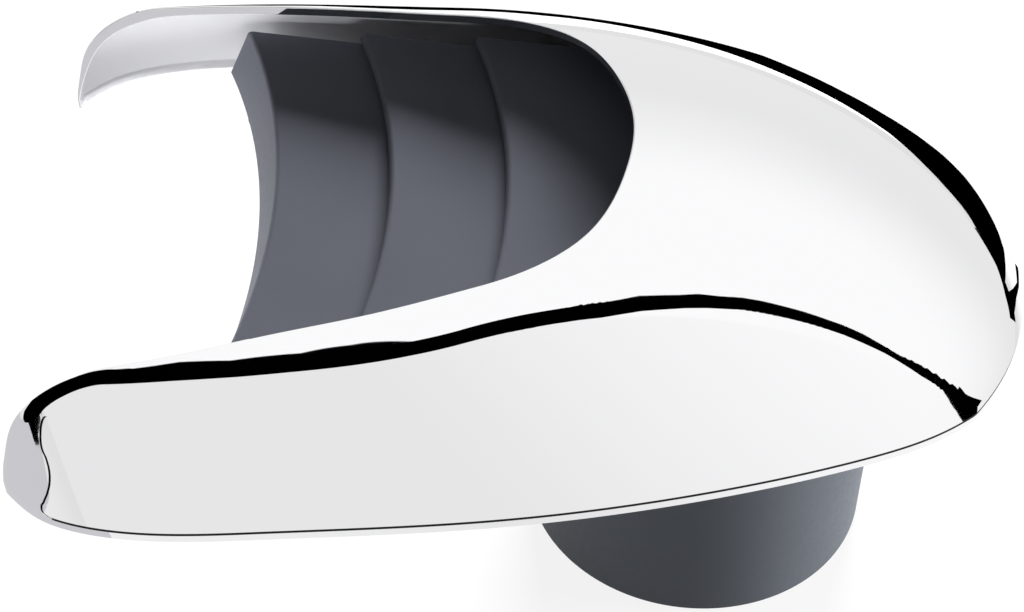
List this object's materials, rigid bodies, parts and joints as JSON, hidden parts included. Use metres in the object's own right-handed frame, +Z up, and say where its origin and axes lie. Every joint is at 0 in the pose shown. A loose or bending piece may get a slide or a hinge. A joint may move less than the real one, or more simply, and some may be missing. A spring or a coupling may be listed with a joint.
{
  "type": "boat vent",
  "caption": "Low polished cowl vent for a boat's deck: domed shell with two arms over dark stepped louvres, and a hose spigot below the deck.",
  "frame": {"origin": "on the axis of the hose spigot, in the plane of the deck that the vent stands on", "axes": "+Z up out of the deck, +X to the closed nose of the cowl, -X to its open tail, Y across; the part is the same on both sides of Y = 0"},
  "size_m": [0.2038, 0.1418, 0.1088],
  "materials": {
    "polished_shell": "mirror polished",
    "slate_plastic": "fine satin, slate grey",
    "spigot_plastic": "satin, dark slate grey",
    "seal_rubber": "matt black",
    "foam_rubber": "closed cell foam, matt black",
    "stainless_fixing": "bright stainless"
  },
  "bodies": {
    "root": {"cowl_shell": "polished_shell", "duct_housing": "slate_plastic", "front_louvre": "slate_plastic", "middle_louvre": "slate_plastic", "rear_louvre": "slate_plastic", "hose_spigot": "spigot_plastic", "spigot_seal": "seal_rubber", "base_gasket": "foam_rubber", "mounting_stud_tail_left": "stainless_fixing", "mounting_stud_tail_right": "stainless_fixing", "mounting_stud_nose_left": "stainless_fixing", "mounting_stud_nose_right": "stainless_fixing", "cowl_screw_tail_left": "stainless_fixing", "cowl_screw_tail_right": "stainless_fixing", "cowl_screw_nose_left": "stainless_fixing", "cowl_screw_nose_right": "stainless_fixing", "spigot_screw_1": "stainless_fixing", "spigot_screw_2": "stainless_fixing", "spigot_screw_3": "stainless_fixing", "spigot_screw_4": "stainless_fixing"}
  },
  "joints": []
}
